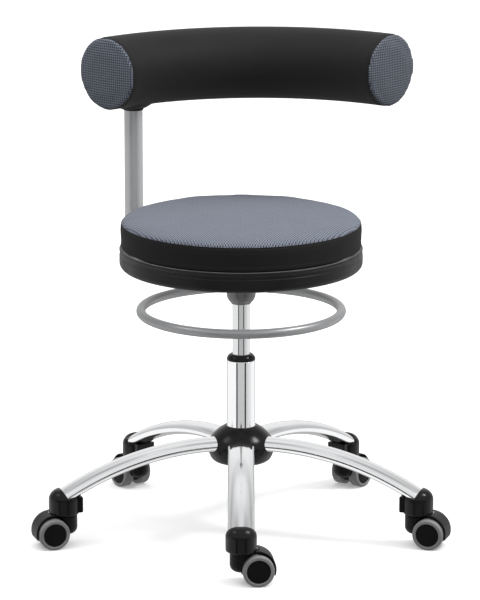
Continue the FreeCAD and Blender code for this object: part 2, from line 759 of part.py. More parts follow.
def post_space(gap, top):
    """Upright cylinder round the upper end of the post."""
    post = back_point(POST_OFFSET, 0)
    return cylinder(BACK_TUBE_RADIUS + gap, BOLSTER_Z - 2 * BOLSTER_RADIUS, top, post.x, post.y)


def bolster_core():
    """Curved wooden core, bored for the post."""
    return core_bar(0).cut(post_space(0, POST_TOP))


def bolster_cushion():
    """Round padded roll along the arc, hollow for its core and the post."""
    centre = bolster_centre() + V(0, BOLSTER_ARC, 0)
    circle = Part.Wire([Part.Circle(centre, V(1, 0, 0), BOLSTER_RADIUS).toShape()])
    roll = bolster_bar(circle, BOLSTER_LEFT, BOLSTER_RIGHT)
    return roll.cut(core_bar(SOFT_GAP)).cut(post_space(SOFT_GAP, POST_TOP + 1))


# ---------------------------------------------------------------- write every node
def main():
    os.makedirs("parts", exist_ok=True)
    save("hub_core", hub_core())
    save("hub_cover", hub_cover())
    for number, angle in enumerate(ARM_ANGLES, 1):
        save("base_arm_" + str(number), turn(arm(), angle))
    save("arm_sockets", Part.makeCompound([turn(arm_socket(), angle) for angle in ARM_ANGLES]))
    save("caster_stems", Part.makeCompound([turn(caster_stem(), angle) for angle in ARM_ANGLES]))
    for number, (arm_angle, trail_angle) in enumerate(zip(ARM_ANGLES, CASTER_ANGLES), 1):
        save_caster(number, arm_angle, trail_angle)
    save("stand_tube", stand_tube())
    save("guide_bush", guide_bush())
    save("thrust_bearing", thrust_bearing())
    save("piston_rod", piston_rod())
    save("rod_clip", rod_clip())
    save("gas_cylinder", gas_cylinder())
    save("release_pin", release_pin())
    save("taper_socket", taper_socket())
    save("seat_plate", seat_plate())
    save("seat_screws", Part.makeCompound([screw(x, y) for x, y in screw_places()]))
    save("seat_board", seat_board())
    save("seat_pan", seat_pan())
    save("seat_cushion", seat_cushion())
    save("ring_pivot_pin", pivot_bar(PIVOT_RADIUS, LEVER_HALF_WIDTH + 6))
    save("ring_lever", ring_lever())
    save("release_ring", release_ring())
    save("swivel_hub", swivel_hub())
    save("swivel_washers", swivel_washers())
    save("backrest_tube", back_tube())
    save("bolster_core", bolster_core())
    save("bolster_cushion", bolster_cushion())


main()
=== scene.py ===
import json
import math

import bmesh
import bpy
from mathutils import Matrix, Vector
from mathutils.bvhtree import BVHTree

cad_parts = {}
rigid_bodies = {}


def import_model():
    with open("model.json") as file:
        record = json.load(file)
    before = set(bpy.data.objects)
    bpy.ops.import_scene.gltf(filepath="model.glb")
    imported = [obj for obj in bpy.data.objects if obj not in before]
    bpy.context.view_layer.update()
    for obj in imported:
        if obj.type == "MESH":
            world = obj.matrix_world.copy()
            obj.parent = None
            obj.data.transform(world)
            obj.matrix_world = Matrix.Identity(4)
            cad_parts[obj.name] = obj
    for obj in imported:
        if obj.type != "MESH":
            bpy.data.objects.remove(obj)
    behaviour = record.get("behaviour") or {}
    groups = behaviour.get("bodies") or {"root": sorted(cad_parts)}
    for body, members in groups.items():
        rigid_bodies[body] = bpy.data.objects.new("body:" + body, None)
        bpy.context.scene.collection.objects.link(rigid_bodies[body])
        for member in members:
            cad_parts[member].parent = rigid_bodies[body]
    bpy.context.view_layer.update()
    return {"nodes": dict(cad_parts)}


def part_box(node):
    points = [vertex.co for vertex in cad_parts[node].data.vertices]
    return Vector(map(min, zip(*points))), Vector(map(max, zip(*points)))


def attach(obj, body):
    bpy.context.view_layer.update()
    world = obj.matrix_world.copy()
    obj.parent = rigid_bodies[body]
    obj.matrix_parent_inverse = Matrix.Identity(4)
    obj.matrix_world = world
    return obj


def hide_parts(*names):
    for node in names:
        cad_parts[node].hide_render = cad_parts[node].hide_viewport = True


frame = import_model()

# Looks of the dentist stool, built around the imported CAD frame. Metres, +Z up, +Y to the back.

MM = 0.001
NODES = frame["nodes"]

# ---------------------------------------------------------------- places read from the frame
SEAT_LOW, SEAT_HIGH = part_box("seat_cushion")
SEAT_RADIUS = (SEAT_HIGH.x - SEAT_LOW.x) / 2
BOARD_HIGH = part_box("seat_board")[1]
BOARD_RADIUS = BOARD_HIGH.x
SEAM_DROP = 12.8 * MM  # from the crown down to the seam
SEAM_Z = SEAT_HIGH.z - SEAM_DROP

ROLL_LOW, ROLL_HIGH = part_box("bolster_cushion")
ROLL_RADIUS = (ROLL_HIGH.z - ROLL_LOW.z) / 2
ROLL_Z = (ROLL_HIGH.z + ROLL_LOW.z) / 2
ROLL_ARC = 330.0 * MM  # radius of the curve the roll follows
ROLL_LEFT = math.radians(49.1)  # how far each end lies from the middle, as an angle of that curve
ROLL_RIGHT = math.radians(40.5)
ROLL_CENTRE = Vector((
    ROLL_LOW.x + math.sin(ROLL_LEFT) * (ROLL_ARC + ROLL_RADIUS),
    ROLL_HIGH.y - ROLL_ARC - ROLL_RADIUS,
    ROLL_Z,
))
POST_LOW, POST_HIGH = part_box("backrest_tube")
POST_RADIUS = 15.0 * MM
POST = Vector((POST_LOW.x + POST_RADIUS, POST_HIGH.y - POST_RADIUS, 0))
SLEEVE_REACH = 33.0 * MM  # from the post's axis to where the cover starts to draw down
SLEEVE_DROP = 5.5 * MM
END_SEAM = 4.5 * MM  # from the roll's end to the seam of its end disc

# ---------------------------------------------------------------- sewing and cloth
VOXEL = 4.5 * MM
PRESSURE = 4.0
CLOTH_FRAMES = 20
CLOTH_MOVE = 3.0 * MM  # furthest that blowing up moves a point
WELT_RADIUS = 0.7 * MM
THREAD_RADIUS = 0.35 * MM
SEAT_PITCHES = (4.2 * MM, 9.0 * MM)  # rows of eyelets, across and along
DISC_PITCHES = (4.2 * MM, 4.0 * MM)
WEAVE_DARK = (0.046, 0.052, 0.067)
WEAVE_LIGHT = (0.212, 0.236, 0.288)

# ---------------------------------------------------------------- light and camera
WORLD_LEVEL = 0.32
FLOOR_GLOW = 0.28
CEILING_POWER = 2.5
CEILING_SPREAD = math.radians(80)
CEILING_TILT = math.radians(8)
SOFTBOX_SIZE = 0.9
SOFTBOX_AIM = Vector((0, 0, 0.3))
SOFTBOXES = (("side_left", (-2.3, -0.4, 3.0), 12), ("side_right", (2.3, -0.4, 3.0), 60))
CAMERA_PLACE = (-0.0018, -5.902, 1.783)
CAMERA_PITCH = 13.35
SENSOR = 36.0
FOCAL_IN_FRAMES = 6.2963  # focal length over the height of the picture

# What polished metal sees of the studio. Each zone is its middle, its half width and the blur of
# its edges in degrees, of azimuth from the front or of elevation, and then how much it darkens.
WHITE_LEVEL = 1.12
LOW_TOP, LOW_BLUR = 3, 8  # the low part fades out up to LOW_TOP degrees
FLAGS, FLAGS_DARK = (34.4, 5.2, 1.6), 0.97
FRONT, FRONT_DARK = (0, 30, 4), 0.48
RIGHT, RIGHT_DARK = (35, 12, 55), 0.42
BACK, BACK_DARK = (180, 32, 12), 0.60
SKIRTING, SKIRTING_REACH, SKIRTING_DARK = (2, 5, 2), (0, 55, 20), 0.95
HIGH_DARK = 0.16
HIGH_SIDES, HIGH_SIDES_DARK = (118, 14, 32), 0.34
STREAKS, STREAKS_DARK = ((38, 4, 5), (72, 6, 8)), 0.14
HIDDEN_FROM_CHROME = ("seat_", "swivel_", "backrest_tube", "ring_lever", "release_ring", "stand_tube",
                      "gas_cylinder", "taper_socket", "hub_cover", "guide_bush")


# ---------------------------------------------------------------- node helpers
class Graph:
    """A node tree with short calls to add nodes and link them."""

    def __init__(self, tree):
        self.tree = tree

    def add(self, kind, **values):
        node = self.tree.nodes.new(kind)
        for key, value in values.items():
            setattr(node, key, value)
        return node

    def link(self, output, target):
        self.tree.links.new(output, target)

    def math(self, operation, first, second=0.0, clamp=False):
        """One Math node on numbers or outputs."""
        node = self.add("ShaderNodeMath", operation=operation, use_clamp=clamp)
        for socket, value in zip(node.inputs, (first, second)):
            if isinstance(value, (int, float)):
                socket.default_value = value
            else:
                self.link(value, socket)
        return node.outputs[0]


class Paint(Graph):
    """A material with a Principled shader."""

    def __init__(self, name, colour, roughness, metallic=0.0):
        self.material = bpy.data.materials.new(name)
        self.material.use_nodes = True
        super().__init__(self.material.node_tree)
        self.shader = self.tree.nodes["Principled BSDF"]
        self.set("Base Color", (*colour, 1))
        self.set("Roughness", roughness)
        self.set("Metallic", metallic)
        self.coordinates = self.add("ShaderNodeTexCoord").outputs["Object"]

    def set(self, socket, value):
        self.shader.inputs[socket].default_value = value

    def use(self, socket, output):
        self.link(output, self.shader.inputs[socket])

    def stretched(self, scale, turn=0.0):
        """Object coordinates, turned about Z and then scaled along each axis."""
        turned = self.add("ShaderNodeMapping")
        turned.inputs["Rotation"].default_value = (0, 0, turn)
        self.link(self.coordinates, turned.inputs["Vector"])
        scaled = self.add("ShaderNodeMapping")
        scaled.inputs["Scale"].default_value = scale
        self.link(turned.outputs[0], scaled.inputs["Vector"])
        return scaled.outputs[0]

    def noise(self, scale, detail=2.0, vector=None, distortion=0.0):
        node = self.add("ShaderNodeTexNoise")
        node.inputs["Scale"].default_value = scale
        node.inputs["Detail"].default_value = detail
        node.inputs["Distortion"].default_value = distortion
        self.link(vector or self.coordinates, node.inputs["Vector"])
        return node.outputs["Fac"]

    def cells(self, scale):
        node = self.add("ShaderNodeTexVoronoi")
        node.inputs["Scale"].default_value = scale
        self.link(self.coordinates, node.inputs["Vector"])
        return node.outputs["Distance"]

    def span(self, value, low, high, out_low, out_high):
        """Map a value from one range to another, clamped."""
        node = self.add("ShaderNodeMapRange")
        self.link(value, node.inputs["Value"])
        for name, number in zip(("From Min", "From Max", "To Min", "To Max"), (low, high, out_low, out_high)):
            node.inputs[name].default_value = number
        return node.outputs[0]

    def tint(self, factor, dark, light):
        """Colour from a factor, between two colours."""
        node = self.add("ShaderNodeMix", data_type="RGBA")
        self.link(factor, node.inputs["Factor"])
        node.inputs["A"].default_value = (*dark, 1)
        node.inputs["B"].default_value = (*light, 1)
        return node.outputs["Result"]

    def bump(self, height, distance, strength, below=None):
        """Normal raised by a height, over another normal where one is given."""
        node = self.add("ShaderNodeBump")
        node.inputs["Distance"].default_value = distance
        node.inputs["Strength"].default_value = strength
        self.link(height, node.inputs["Height"])
        if below:
            self.link(below, node.inputs["Normal"])
        return node.outputs["Normal"]


def shade(colour, factor):
    """A colour made lighter or darker."""
    return tuple(min(1.0, part * factor) for part in colour)


# ---------------------------------------------------------------- materials
def chrome(name="chrome_plate", tone=1.0):
    """Polished chrome plate with faint polishing marks and a little haze."""
    paint = Paint(name, shade((0.80, 0.805, 0.815), tone), 0.09, 1.0)
    marks = paint.noise(90, 4, paint.stretched((1, 1, 9)))
    haze = paint.noise(14, 3)
    dark = shade((0.78, 0.785, 0.80), tone)
    light = shade((0.88, 0.885, 0.89), tone)
    paint.use("Roughness", paint.span(paint.math("MULTIPLY", marks, haze), 0.1, 0.5, 0.06, 0.13))
    paint.use("Base Color", paint.tint(haze, dark, light))
    paint.use("Normal", paint.bump(marks, 0.02 * MM, 0.12))
    return paint.material


def silver_coat(name, tone):
    """Satin silver-grey metallic coating with fine flake and orange peel."""
    paint = Paint(name, (tone, tone, tone * 1.02), 0.36, 0.45)
    flake = paint.cells(2600)
    peel = paint.noise(420, 2)
    wear = paint.noise(11, 4)
    dark = (tone * 0.85, tone * 0.855, tone * 0.88)
    light = (tone * 1.12, tone * 1.13, tone * 1.15)
    paint.use("Base Color", paint.tint(paint.span(flake, 0.0, 0.7, 0, 1), dark, light))
    paint.use("Roughness", paint.span(wear, 0.3, 0.7, 0.31, 0.40))
    paint.use("Normal", paint.bump(peel, 0.03 * MM, 0.4))
    return paint.material


def turned_steel():
    """Plain machined steel with tool marks."""
    paint = Paint("turned_steel", (0.52, 0.52, 0.52), 0.3, 1.0)
    marks = paint.noise(60, 3, paint.stretched((1, 1, 22)))
    paint.use("Roughness", paint.span(marks, 0.3, 0.7, 0.22, 0.42))
    paint.use("Base Color", paint.tint(marks, (0.44, 0.44, 0.44), (0.60, 0.60, 0.60)))
    paint.use("Normal", paint.bump(marks, 0.03 * MM, 0.5))
    return paint.material


def black_paint():
    """Satin black powder coat on steel."""
    paint = Paint("black_powder_coat", (0.016, 0.016, 0.017), 0.42)
    grain = paint.noise(900, 2)
    paint.use("Roughness", paint.span(paint.noise(25, 3), 0.3, 0.7, 0.36, 0.50))
    paint.use("Base Color", paint.tint(grain, (0.012, 0.012, 0.013), (0.024, 0.024, 0.025)))
    paint.use("Normal", paint.bump(grain, 0.06 * MM, 0.6))
    return paint.material


def moulded_black(name, roughness, texture, gloss, tone=1.0):
    """Black moulded plastic: fine spark-eroded texture, scuffs and slight tone variation."""
    dark = shade((0.0045, 0.0045, 0.0048), tone)
    light = shade((0.0085, 0.0085, 0.009), tone)
    paint = Paint(name, dark, roughness)
    paint.set("Specular IOR Level", gloss)
    grain = paint.noise(1500, 2)
    scuff = paint.noise(38, 6, distortion=0.6)
    rub = paint.span(scuff, 0.35, 0.75, roughness - 0.07, roughness + 0.09)
    paint.use("Roughness", rub)
    paint.use("Base Color", paint.tint(scuff, dark, light))
    paint.use("Normal", paint.bump(grain, texture, 0.5))
    return paint.material


def tread_rubber():
    """Grey polyurethane tread: matt, slightly mottled, a little dust."""
    paint = Paint("grey_tread", (0.235, 0.235, 0.235), 0.55)
    mottle = paint.noise(120, 4)
    dust = paint.noise(22, 5)
    mixed = paint.math("ADD", paint.math("MULTIPLY", mottle, 0.4), paint.math("MULTIPLY", dust, 0.6))
    level = paint.span(mixed, 0.3, 0.7, 0, 1)
    paint.use("Base Color", paint.tint(level, (0.19, 0.19, 0.192), (0.27, 0.27, 0.268)))
    paint.use("Roughness", paint.span(dust, 0.3, 0.7, 0.46, 0.66))
    paint.use("Normal", paint.bump(mottle, 0.08 * MM, 0.4))
    return paint.material


def plywood():
    """Birch board with long grain."""
    paint = Paint("birch_board", (0.50, 0.35, 0.20), 0.6)
    grain = paint.noise(12, 5, paint.stretched((1, 14, 6)), 0.8)
    level = paint.span(grain, 0.3, 0.7, 0, 1)
    paint.use("Base Color", paint.tint(level, (0.40, 0.26, 0.14), (0.58, 0.43, 0.26)))
    paint.use("Normal", paint.bump(grain, 0.15 * MM, 0.4))
    return paint.material


def mesh_cloth(name, pitches, turn, lying, tone):
    """Open spacer mesh: light threads round rows of small dark eyelets, fine fuzz and soft mottling.
    A lying cloth faces along Z and has its rows on the diagonal; any other faces along the turned X."""
    paint = Paint(name, (0.22, 0.24, 0.29), 0.85)
    paint.set("Sheen Weight", 0.12)
    paint.set("Sheen Roughness", 0.5)
    paint.set("Specular IOR Level", 0.15)
    split = paint.add("ShaderNodeSeparateXYZ")
    paint.link(paint.stretched((1, 1, 1), turn), split.inputs[0])
    across = split.outputs["X" if lying else "Y"]
    along = split.outputs["Y" if lying else "Z"]
    waves = []
    for axis, pitch in zip((across, along), pitches):
        waves.append(paint.math("SINE", paint.math("MULTIPLY", axis, 2 * math.pi / pitch)))
    if lying:
        eyelet = paint.math("MULTIPLY", waves[0], waves[1])
    else:
        eyelet = paint.math("MULTIPLY", paint.math("ADD", waves[0], waves[1]), 0.5)
    threads = paint.span(eyelet, -0.2, 0.55, 1.0, 0.0)
    mottle = paint.noise(55, 3)
    fuzz = paint.noise(2400, 2)
    drift = paint.math("ADD", paint.math("MULTIPLY", mottle, 0.16), paint.math("MULTIPLY", fuzz, 0.22))
    level = paint.math("SUBTRACT", paint.math("ADD", threads, drift), 0.19)
    # tone darkens both weave colours; the end discs take lower tones than the seat as painted shade
    paint.use("Base Color", paint.tint(level, shade(WEAVE_DARK, tone), shade(WEAVE_LIGHT, tone)))
    fine = paint.bump(fuzz, 0.10 * MM, 0.5)
    paint.use("Normal", paint.bump(threads, 0.45 * MM, 0.8, fine))
    return paint.material


def knit_cloth(name, tone, roughness):
    """Black stretch knit: tiny loops, slight sheen and very soft tone variation."""
    paint = Paint(name, (tone, tone, tone), roughness)
    paint.set("Sheen Weight", 0.02)
    paint.set("Sheen Roughness", 0.45)
    paint.set("Specular IOR Level", 0.12)
    loops = paint.cells(1100)
    drift = paint.noise(16, 4)
    warm = (tone * 1.25, tone * 1.2, tone * 1.2)
    paint.use("Base Color", paint.tint(drift, shade((tone, tone, tone), 0.85), warm))
    paint.use("Normal", paint.bump(loops, 0.16 * MM, 0.6))
    return paint.material


# ---------------------------------------------------------------- mesh helpers
def placed(name, data):
    """New object in the scene."""
    obj = bpy.data.objects.new(name, data)
    bpy.context.scene.collection.objects.link(obj)
    return obj


def piece(name, mesh, body, finish):
    """Put a mesh in the scene as a piece that rides on a body, with its finish."""
    obj = placed(name, mesh)
    mesh.materials.append(finish)
    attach(obj, body)
    return obj


def smooth(mesh, angle):
    """Smooth shading that keeps edges sharper than an angle."""
    bm = bmesh.new()
    bm.from_mesh(mesh)
    for face in bm.faces:
        face.smooth = True
    limit = math.radians(angle)
    for edge in bm.edges:
        edge.smooth = len(edge.link_faces) != 2 or edge.calc_face_angle(0) < limit
    bm.to_mesh(mesh)
    bm.free()
    return mesh


def turned_mesh(name, outline, segments):
    """Closed solid of revolution about Z from (radius, height) points, either from axis to axis or
    right round a ring."""
    bm = bmesh.new()
    rings = []
    for radius, height in outline:
        if radius < 1e-7:
            rings.append([bm.verts.new((0, 0, height))])
            continue
        ring = []
        for k in range(segments):
            a = 2 * math.pi * k / segments
            ring.append(bm.verts.new((radius * math.cos(a), radius * math.sin(a), height)))
        rings.append(ring)
    if len(rings[0]) > 1:
        rings.append(rings[0])
    for low, high in zip(rings, rings[1:]):
        for k in range(segments):
            n = (k + 1) % segments
            corners = [low[k % len(low)], low[n % len(low)], high[n % len(high)], high[k % len(high)]]
            bm.faces.new(list(dict.fromkeys(corners)))
    bmesh.ops.recalc_face_normals(bm, faces=bm.faces)
    mesh = bpy.data.meshes.new(name)
    bm.to_mesh(mesh)
    bm.free()
    return mesh


def arc_points(centre, radius, start, end, steps):
    """Points of an arc in the (radius, height) plane, angles in degrees."""
    points = []
    for k in range(steps + 1):
        a = math.radians(start + (end - start) * k / steps)
        points.append((centre[0] + radius * math.cos(a), centre[1] + radius * math.sin(a)))
    return points


def remeshed(mesh):
    """Even grid of quads over a closed mesh."""
    obj = placed("remesh", mesh)
    modifier = obj.modifiers.new("remesh", "REMESH")
    modifier.mode = "VOXEL"
    modifier.voxel_size = VOXEL
    result = evaluated(obj)
    bpy.data.objects.remove(obj)
    return result


def evaluated(obj):
    """New mesh of an object with its modifiers applied."""
    bpy.context.view_layer.update()
    return bpy.data.meshes.new_from_object(obj.evaluated_get(bpy.context.evaluated_depsgraph_get()))


def inflated(mesh, held):
    """Blow a closed mesh up as cloth; held(point) tells which points stay where they are."""
    scene = bpy.context.scene
    obj = placed("cloth", mesh)
    before = [v.co.copy() for v in mesh.vertices]
    group = obj.vertex_groups.new(name="held")
    group.add([k for k, point in enumerate(before) if held(point)], 1.0, "REPLACE")
    cloth = obj.modifiers.new("cloth", "CLOTH")
    settings = cloth.settings
    settings.vertex_group_mass = "held"
    settings.quality = 6
    settings.mass = 0.15
    settings.tension_stiffness = 25
    settings.compression_stiffness = 25
    settings.shear_stiffness = 15
    settings.bending_stiffness = 1.5
    settings.use_pressure = True
    settings.uniform_pressure_force = PRESSURE
    settings.effector_weights.gravity = 0
    cloth.point_cache.frame_start = 1
    cloth.point_cache.frame_end = CLOTH_FRAMES
    for number in range(1, CLOTH_FRAMES + 1):
        scene.frame_set(number)
    result = evaluated(obj)
    for vertex, start in zip(result.vertices, before):
        move = vertex.co - start
        if move.length > CLOTH_MOVE:
            vertex.co = start + move * (CLOTH_MOVE / move.length)
    obj.modifiers.clear()
    bpy.data.objects.remove(obj)
    scene.frame_set(1)
    return result


def relaxed(mesh, rounds):
    """Even out small bumps."""
    bm = bmesh.new()
    bm.from_mesh(mesh)
    every_axis = {"use_axis_x": True, "use_axis_y": True, "use_axis_z": True}
    for _ in range(rounds):
        bmesh.ops.smooth_vert(bm, verts=bm.verts, factor=0.5, **every_axis)
    bm.to_mesh(mesh)
    bm.free()
    return mesh


def subdivided(mesh):
    """One level of subdivision."""
    obj = placed("subdivide", mesh)
    obj.modifiers.new("subdivide", "SUBSURF").levels = 1
    result = evaluated(obj)
    bpy.data.objects.remove(obj)
    return result


def half(mesh, name, point, normal):
    """The part of a closed mesh on the normal's side of a plane, closed again."""
    bm = bmesh.new()
    bm.from_mesh(mesh)
    geometry = bm.verts[:] + bm.edges[:] + bm.faces[:]
    bmesh.ops.bisect_plane(bm, geom=geometry, plane_co=point, plane_no=normal, clear_inner=True, dist=1e-6)
    rim = [edge for edge in bm.edges if len(edge.link_faces) == 1]
    bmesh.ops.holes_fill(bm, edges=rim, sides=0)
    bmesh.ops.recalc_face_normals(bm, faces=bm.faces)
    part = bpy.data.meshes.new(name)
    bm.to_mesh(part)
    bm.free()
    return part


def cut_loop(mesh, point, normal, count):
    """Evenly spaced points round the outline where a plane cuts a mesh."""
    bm = bmesh.new()
    bm.from_mesh(mesh)
    geometry = bm.verts[:] + bm.edges[:] + bm.faces[:]
    cut = bmesh.ops.bisect_plane(bm, geom=geometry, plane_co=point, plane_no=normal, dist=1e-6)["geom_cut"]
    spots = [v.co.copy() for v in cut if isinstance(v, bmesh.types.BMVert)]
    bm.free()
    middle = sum(spots, Vector()) / len(spots)
    first = normal.orthogonal().normalized()
    second = normal.cross(first)
    turns = []
    for spot in spots:
        arm = spot - middle
        turns.append((math.atan2(arm.dot(second), arm.dot(first)), arm.length))
    turns.sort()
    outline = []
    place = 0
    for k in range(count):
        angle = -math.pi + 2 * math.pi * (k + 0.5) / count
        while place < len(turns) and turns[place][0] < angle:
            place += 1
        before, after = turns[place - 1], turns[place % len(turns)]
        gap = (after[0] - before[0]) % (2 * math.pi) or 1.0
        share = ((angle - before[0]) % (2 * math.pi)) / gap
        radius = before[1] + (after[1] - before[1]) * share
        outline.append(middle + (first * math.cos(angle) + second * math.sin(angle)) * radius)
    return outline


def loop_spots(loop, middle):
    """Centre, direction and outward for stitches at every point of a loop."""
    spots = []
    for before, spot, after in zip(loop[-1:] + loop[:-1], loop, loop[1:] + loop[:1]):
        direction = (after - before).normalized()
        outward = spot - middle
        outward = (outward - direction * outward.dot(direction)).normalized()
        spots.append((spot, direction, outward))
    return spots


def moved_points(mesh, move):
    """Change every point of a mesh with a function of its place."""
    for vertex in mesh.vertices:
        vertex.co = move(vertex.co.copy())
    return mesh


def tube_mesh(name, centres, radius, closed=False):
    """Thin round tube through a list of points."""
    curve = bpy.data.curves.new(name, "CURVE")
    curve.dimensions = "3D"
    curve.bevel_depth = radius
    curve.bevel_resolution = 1
    curve.use_fill_caps = True
    spline = curve.splines.new("POLY")
    spline.points.add(len(centres) - 1)
    for spot, centre in zip(spline.points, centres):
        spot.co = (*centre, 1)
    spline.use_cyclic_u = closed
    obj = placed(name, curve)
    mesh = evaluated(obj)
    bpy.data.objects.remove(obj)
    mesh.name = name
    return mesh


def stitches_mesh(name, spots, length):
    """Row of short rounded threads; spots holds (centre, direction, outward)."""
    bm = bmesh.new()
    for centre, direction, outward in spots:
        side = direction.cross(outward)
        turn = Matrix((direction, side, outward)).transposed().to_4x4()
        made = bmesh.ops.create_uvsphere(bm, u_segments=8, v_segments=6, radius=1.0)
        size = Matrix.Diagonal((length / 2, THREAD_RADIUS, THREAD_RADIUS, 1))
        bmesh.ops.transform(bm, matrix=Matrix.Translation(centre) @ turn @ size, verts=made["verts"])
    mesh = bpy.data.meshes.new(name)
    bm.to_mesh(mesh)
    bm.free()
    return smooth(mesh, 180)


# ---------------------------------------------------------------- seat cushion
def seat_outline():
    """Half-section of the drum before it is blown up: a little inside the CAD solid."""
    lip = BOARD_RADIUS + 1.0 * MM
    low = SEAT_LOW.z + 0.3 * MM
    recess = BOARD_HIGH.z + 1.0 * MM
    side = SEAT_RADIUS - 1.8 * MM
    shoulder = 7.5 * MM
    corner = (side - shoulder, SEAM_Z + 0.6 * MM)
    crown = SEAT_HIGH.z - 0.8 * MM
    edge_z = corner[1] + shoulder
    top = []
    steps = 24
    for k in range(1, steps + 1):
        r = corner[0] * (1 - k / steps)
        top.append((r, edge_z + (crown - edge_z) * (1 - (r / corner[0]) ** 2)))
    return (
        [(0, recess), (lip, recess), (lip, low), (side - 2 * MM, low), (side, low + 2 * MM)]
        + arc_points(corner, shoulder, 0, 90, 8)
        + top
    )


def eased(share):
    """Smooth step from 0 to 1, as a share of the way."""
    return share * share * (3 - 2 * share)


def clamped(value):
    """A value kept between 0 and 1."""
    return min(1.0, max(0.0, value))


def seat_form():
    """Drum blown up as cloth, held at the seam and where it sits in its pan, with the seam pulled in."""
    mesh = remeshed(turned_mesh("seat_start", seat_outline(), 160))

    def held(point):
        radius = math.hypot(point.x, point.y)
        if radius < SEAT_RADIUS - 4 * MM:
            return point.z < BOARD_HIGH.z + 4 * MM
        return point.z < SEAT_LOW.z + 5 * MM or abs(point.z - SEAM_Z) < 3.0 * MM

    mesh = inflated(mesh, held)
    mesh = subdivided(relaxed(mesh, 12))
    middle = (SEAT_LOW.z + SEAM_Z) / 2

    def widest(height):
        """Radius of the drum at a height."""
        return max(math.hypot(v.co.x, v.co.y) for v in mesh.vertices if abs(v.co.z - height) < 2 * MM)

    full = SEAT_RADIUS - 0.4 * MM
    short_side = full - widest(middle)
    short_seam = full - widest(SEAM_Z)

    def filled(point):
        """Push the side out to its full radius, fading out over the outer part of the top."""
        radius = math.hypot(point.x, point.y)
        share = clamped((radius - SEAT_RADIUS + 45 * MM) / (35 * MM))
        rise = clamped((point.z - middle) / (SEAM_Z - middle))
        short = short_side + (short_seam - short_side) * rise
        grow = 1 + short * eased(share) / max(radius, MM)
        return Vector((point.x * grow, point.y * grow, point.z))

    def sewn(point):
        """Fill the form out, keep its lower edge in the pan and pull in the seam and its stitches."""
        point = filled(point)
        radius = math.hypot(point.x, point.y)
        if radius < SEAT_RADIUS - 12 * MM:
            return point
        rise = (point.z - SEAT_LOW.z) / (8 * MM)
        if rise < 1 and radius > SEAT_RADIUS - 10 * MM:
            edge = SEAT_RADIUS - 0.6 * MM - 1.2 * MM * (1 - max(0.0, rise)) ** 3
            grow = max(1.0, edge / radius)
            return Vector((point.x * grow, point.y * grow, max(point.z, SEAT_LOW.z + 0.2 * MM)))
        dip = 0.8 * MM * math.exp(-((point.z - SEAM_Z) / (2.2 * MM)) ** 2)
        dip += 0.5 * MM * math.exp(-((point.z - SEAM_Z + 6 * MM) / (1.3 * MM)) ** 2)
        keep = 1 - dip / radius
        return Vector((point.x * keep, point.y * keep, point.z))

    return moved_points(mesh, sewn)


def build_seat(top_cloth, band_cloth, thread):
    """Top cloth and side band, with a welt in the seam and a row of stitches under it."""
    form = seat_form()
    seam = Vector((0, 0, SEAM_Z))
    up = Vector((0, 0, 1))
    upper = half(form, "seat_top_cloth", seam, up)
    lower = half(form, "seat_side_band", seam, -up)
    top = piece("seat_top_cloth", upper, "seat", top_cloth)
    band = piece("seat_side_band", lower, "seat", band_cloth)
    for part in (top, band):
        smooth(part.data, 60)
        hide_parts("seat_cushion")
    welt = tube_mesh("seat_seam_welt", cut_loop(form, seam, up, 240), WELT_RADIUS, True)
    piece("seat_seam_welt", smooth(welt, 180), "seat", thread)
    row = seam - up * 6 * MM
    spots = loop_spots(cut_loop(form, row, up, 230), row)
    stitches = stitches_mesh("seat_topstitch", spots, 4.0 * MM)
    piece("seat_topstitch", stitches, "seat", thread)


# ---------------------------------------------------------------- bolster
def roll_point(angle, radius=ROLL_ARC, height=0.0):
    """Point at an angle (positive to the left end) and radius about the roll's arc centre."""
    return ROLL_CENTRE + Vector((-math.sin(angle) * radius, math.cos(angle) * radius, height))


def roll_mesh(radius, bevel):
    """Closed curved roll with bevelled rims at both ends."""
    bm = bmesh.new()
    sides, steps, bevel_steps = 72, 90, 6
    rings = []
    stations = []
    for k in range(bevel_steps + 1):
        cut = bevel * (1 - math.sin(math.pi / 2 * k / bevel_steps))
        stations.append((-cut, radius - cut))
    left, right = ROLL_LEFT, -ROLL_RIGHT
    inset = bevel / ROLL_ARC
    for shift, size in stations:
        rings.append((left - inset - shift / ROLL_ARC, size))
    for k in range(1, steps):
        rings.append((left - inset + (right - left + 2 * inset) * k / steps, radius))
    for shift, size in reversed(stations):
        rings.append((right + inset + shift / ROLL_ARC, size))
    loops = []
    for angle, size in rings:
        loop = []
        for k in range(sides):
            a = 2 * math.pi * k / sides
            place = roll_point(angle, ROLL_ARC + size * math.cos(a), size * math.sin(a))
            loop.append(bm.verts.new(place))
        loops.append(loop)
    for low, high in zip(loops, loops[1:]):
        for k in range(sides):
            n = (k + 1) % sides
            bm.faces.new((low[k], low[n], high[n], high[k]))
    bm.faces.new(loops[0])
    bm.faces.new(loops[-1])
    bmesh.ops.recalc_face_normals(bm, faces=bm.faces)
    mesh = bpy.data.meshes.new("roll_start")
    bm.to_mesh(mesh)
    bm.free()
    return mesh


def roll_form():
    """Roll blown up as cloth, free all over."""
    mesh = remeshed(roll_mesh(ROLL_RADIUS - 2.0 * MM, 3.0 * MM))
    mesh = inflated(mesh, lambda point: False)
    return roll_to_size(subdivided(relaxed(mesh, 2)))


def roll_place(point):
    """Angle along the roll, and the offset from its curved middle line outward and upward."""
    offset = point - ROLL_CENTRE
    return math.atan2(-offset.x, offset.y), math.hypot(offset.x, offset.y) - ROLL_ARC, offset.z


